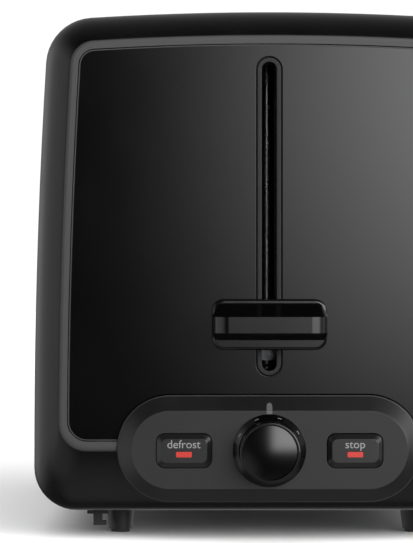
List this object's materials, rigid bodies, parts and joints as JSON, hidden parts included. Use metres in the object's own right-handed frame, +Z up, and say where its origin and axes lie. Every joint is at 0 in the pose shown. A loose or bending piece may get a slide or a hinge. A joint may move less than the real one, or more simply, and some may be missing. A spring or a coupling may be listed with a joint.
{
  "type": "pop-up toaster",
  "caption": "Pop-up toaster with long bread slots, an end lever, a browning knob, push buttons and a rear crumb tray.",
  "frame": {"origin": "on the surface that the toaster stands on, under the middle of its bounding box", "axes": "+Z up; -Y towards the end with the lever and controls; +X to the right when that end is seen from the front"},
  "size_m": [0.1856, 0.312, 0.208],
  "materials": {
    "shell_gloss": "black, smooth satin gloss",
    "panel_metal": "dark satin metal",
    "trim_metal": "dark satin anodised",
    "liner_metal": "brushed",
    "control_gloss": "black, satin gloss",
    "knob_gloss": "black, high gloss",
    "button_gloss": "black, satin",
    "red_lens": "translucent red",
    "base_plastic": "fine moulded texture",
    "foot_plastic": "moulded",
    "pad_rubber": "matt",
    "galvanised": "galvanised sheet",
    "chrome_wire": "bright plated wire",
    "ground_steel": "ground rod and sheet",
    "spring_steel": "drawn wire",
    "mica": "flaky mica sheet",
    "heating_ribbon": "oxidised resistance ribbon",
    "brass_bush": "sintered bush",
    "iron_core": "laminated iron",
    "copper_winding": "enamelled copper winding",
    "board_green": "solder mask",
    "component_black": "moulded",
    "component_blue": "sleeved can",
    "insulation_grey": "lead insulation",
    "terminal_white": "moulded",
    "screw_steel": "zinc plated"
  },
  "bodies": {
    "housing": {"base_plate": "base_plastic", "base_screws": "screw_steel", "board_screws": "screw_steel", "button_switches": "component_black", "capacitor": "component_blue", "circuit_board": "board_green", "control_panel": "control_gloss", "cord_cleats": "foot_plastic", "cord_gland": "pad_rubber", "feet": "foot_plastic", "foot_pads": "pad_rubber", "front_bezel": "shell_gloss", "front_bulkhead": "galvanised", "front_panel": "panel_metal", "guide_rod": "ground_steel", "heat_shield_left": "galvanised", "heat_shield_right": "galvanised", "heater_board_centre": "mica", "heater_board_left": "mica", "heater_board_right": "mica", "heater_ribbon_centre": "heating_ribbon", "heater_ribbon_left": "heating_ribbon", "heater_ribbon_right": "heating_ribbon", "indicator_leds": "red_lens", "lever_slot_trim": "trim_metal", "lift_spring": "spring_steel", "magnet_coil": "copper_winding", "magnet_core": "iron_core", "main_housing": "shell_gloss", "potentiometer": "component_black", "power_contacts": "component_black", "power_leads": "insulation_grey", "rear_bulkhead": "galvanised", "rear_cover": "shell_gloss", "slot_liner_left": "liner_metal", "slot_liner_right": "liner_metal", "spring_seat": "base_plastic", "terminal_block": "terminal_white", "transformer": "copper_winding"},
    "carriage": {"carriage": "galvanised", "carriage_bush": "brass_bush", "lever_arm": "ground_steel", "lever_handle": "knob_gloss", "magnet_armature": "iron_core", "contact_pusher": "component_black", "bread_lift_left": "ground_steel", "bread_lift_right": "ground_steel"},
    "left_outer_guide": {"guide_left_outer": "chrome_wire"},
    "left_inner_guide": {"guide_left_inner": "chrome_wire"},
    "right_inner_guide": {"guide_right_inner": "chrome_wire"},
    "right_outer_guide": {"guide_right_outer": "chrome_wire"},
    "knob": {"browning_knob": "knob_gloss", "knob_cap": "knob_gloss", "knob_shaft": "component_black"},
    "defrost_key": {"defrost_button": "button_gloss", "defrost_lens": "red_lens"},
    "stop_key": {"stop_button": "button_gloss", "stop_lens": "red_lens"},
    "tray": {"crumb_tray": "galvanised", "tray_handle": "shell_gloss"}
  },
  "joints": [
    {"name": "carriage_lift", "type": "slide", "parent": "housing", "child": "carriage", "axis": [0, 0, 1], "range_m": [0, 0.096], "deforming": ["lift_spring"]},
    {"name": "left_outer_guide_swing", "type": "hinge", "parent": "housing", "child": "left_outer_guide", "pos_m": [-0.041, 0, 0.0573], "axis": [0, 1, 0], "range_deg": [-3, 0]},
    {"name": "left_inner_guide_swing", "type": "hinge", "parent": "housing", "child": "left_inner_guide", "pos_m": [-0.015, 0, 0.0573], "axis": [0, 1, 0], "range_deg": [0, 3]},
    {"name": "right_inner_guide_swing", "type": "hinge", "parent": "housing", "child": "right_inner_guide", "pos_m": [0.015, 0, 0.0573], "axis": [0, 1, 0], "range_deg": [-3, 0]},
    {"name": "right_outer_guide_swing", "type": "hinge", "parent": "housing", "child": "right_outer_guide", "pos_m": [0.041, 0, 0.0573], "axis": [0, 1, 0], "range_deg": [0, 3]},
    {"name": "knob_turn", "type": "hinge", "parent": "housing", "child": "knob", "pos_m": [0, -0.145, 0.0355], "axis": [0, -1, 0], "range_deg": [-140, 140]},
    {"name": "defrost_press", "type": "slide", "parent": "housing", "child": "defrost_key", "axis": [0, 1, 0], "range_m": [0, 0.0015], "stiffness_N_per_m": 500, "springref_m": -0.001},
    {"name": "stop_press", "type": "slide", "parent": "housing", "child": "stop_key", "axis": [0, 1, 0], "range_m": [0, 0.0015], "stiffness_N_per_m": 500, "springref_m": -0.001},
    {"name": "tray_slide", "type": "slide", "parent": "housing", "child": "tray", "axis": [0, 1, 0], "range_m": [0, 0.205]}
  ],
  "couplings": [
    {"joint": "left_outer_guide_swing", "follows": "carriage_lift", "rad_per_m": -0.54},
    {"joint": "left_inner_guide_swing", "follows": "carriage_lift", "rad_per_m": 0.54},
    {"joint": "right_inner_guide_swing", "follows": "carriage_lift", "rad_per_m": -0.54},
    {"joint": "right_outer_guide_swing", "follows": "carriage_lift", "rad_per_m": 0.54}
  ]
}
